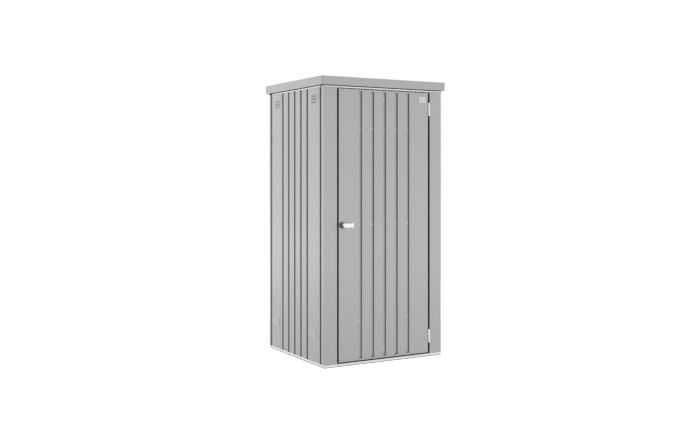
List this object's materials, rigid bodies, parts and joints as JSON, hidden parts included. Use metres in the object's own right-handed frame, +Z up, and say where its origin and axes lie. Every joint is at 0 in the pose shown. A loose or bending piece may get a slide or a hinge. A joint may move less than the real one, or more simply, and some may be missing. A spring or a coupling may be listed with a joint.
{
  "type": "garden tool cabinet",
  "caption": "Tall narrow sheet-steel garden tool cabinet with ribbed walls, a deep flat roof rim, a single swinging door and a rotary lever lock with sliding rods.",
  "frame": {"origin": "middle of the whole part's footprint, on the ground", "axes": "+X to the right seen from the front, +Y from the door to the back, +Z up"},
  "size_m": [0.93, 0.862, 1.825],
  "materials": {
    "painted_steel": "satin metallic grey paint",
    "galvanised_steel": "galvanised, satin",
    "zinc_steel": "zinc plated",
    "bright_metal": "satin cast metal",
    "pale_plate": "bare satin plate",
    "black_plastic": "matt"
  },
  "bodies": {
    "carcass": {"corner_post_front_left": "painted_steel", "corner_post_front_right": "painted_steel", "corner_post_rear_left": "painted_steel", "corner_post_rear_right": "painted_steel", "wall_left": "painted_steel", "wall_right": "painted_steel", "wall_rear": "painted_steel", "roof_panel": "painted_steel", "base_rail_front": "galvanised_steel", "base_rail_left": "galvanised_steel", "base_rail_rear": "galvanised_steel", "base_rail_right": "galvanised_steel", "floor_panel": "galvanised_steel", "top_rail_front": "galvanised_steel", "top_rail_left": "galvanised_steel", "top_rail_rear": "galvanised_steel", "top_rail_right": "galvanised_steel", "roof_brace": "galvanised_steel", "shelf_1": "galvanised_steel", "shelf_2": "galvanised_steel", "shelf_3": "galvanised_steel", "shelf_ledge_1": "galvanised_steel", "shelf_ledge_2": "galvanised_steel", "shelf_ledge_3": "galvanised_steel", "shelf_upright_front": "galvanised_steel", "shelf_upright_rear": "galvanised_steel", "tool_rail": "galvanised_steel", "hinge_lower_frame_leaf": "zinc_steel", "hinge_upper_frame_leaf": "zinc_steel", "hinge_lower_pin": "zinc_steel", "hinge_upper_pin": "zinc_steel", "keeper_lower": "zinc_steel", "keeper_upper": "zinc_steel", "corner_pad_front_left": "black_plastic", "corner_pad_front_right": "black_plastic", "corner_pad_rear_left": "black_plastic", "corner_pad_rear_right": "black_plastic"},
    "door": {"door_skin": "painted_steel", "door_cap_top": "painted_steel", "door_cap_bottom": "painted_steel", "door_strut_lower": "galvanised_steel", "door_strut_middle": "galvanised_steel", "door_strut_upper": "galvanised_steel", "door_rail_bottom": "galvanised_steel", "door_rail_top": "galvanised_steel", "name_plate": "pale_plate", "hinge_lower_door_leaf": "zinc_steel", "hinge_upper_door_leaf": "zinc_steel", "lock_case": "zinc_steel", "lock_cover": "zinc_steel", "rod_guide_lower": "black_plastic", "rod_guide_upper": "black_plastic", "handle_rose": "black_plastic"},
    "handle": {"handle_lever": "bright_metal", "handle_spindle": "zinc_steel", "lock_pinion": "zinc_steel"},
    "key_plug": {"lock_plug": "zinc_steel"},
    "rod_upper": {"rod_upper": "zinc_steel"},
    "rod_lower": {"rod_lower": "zinc_steel"}
  },
  "joints": [
    {"name": "door_swing", "type": "hinge", "parent": "carcass", "child": "door", "pos_m": [0.3442, -0.389, 0.885], "axis": [0, 0, 1], "range_deg": [0, 115]},
    {"name": "handle_turn", "type": "hinge", "parent": "door", "child": "handle", "pos_m": [-0.3127, -0.387, 0.885], "axis": [0, 1, 0], "range_deg": [0, 90]},
    {"name": "key_turn", "type": "hinge", "parent": "handle", "child": "key_plug", "pos_m": [-0.3127, -0.431, 0.885], "axis": [0, 1, 0], "range_deg": [0, 90]},
    {"name": "rod_upper_slide", "type": "slide", "parent": "door", "child": "rod_upper", "axis": [0, 0, 1], "range_m": [0, 0.0165]},
    {"name": "rod_lower_slide", "type": "slide", "parent": "door", "child": "rod_lower", "axis": [0, 0, -1], "range_m": [0, 0.0165]}
  ],
  "couplings": [
    {"joint": "rod_upper_slide", "follows": "handle_turn", "m_per_rad": 0.0105},
    {"joint": "rod_lower_slide", "follows": "handle_turn", "m_per_rad": 0.0105}
  ]
}
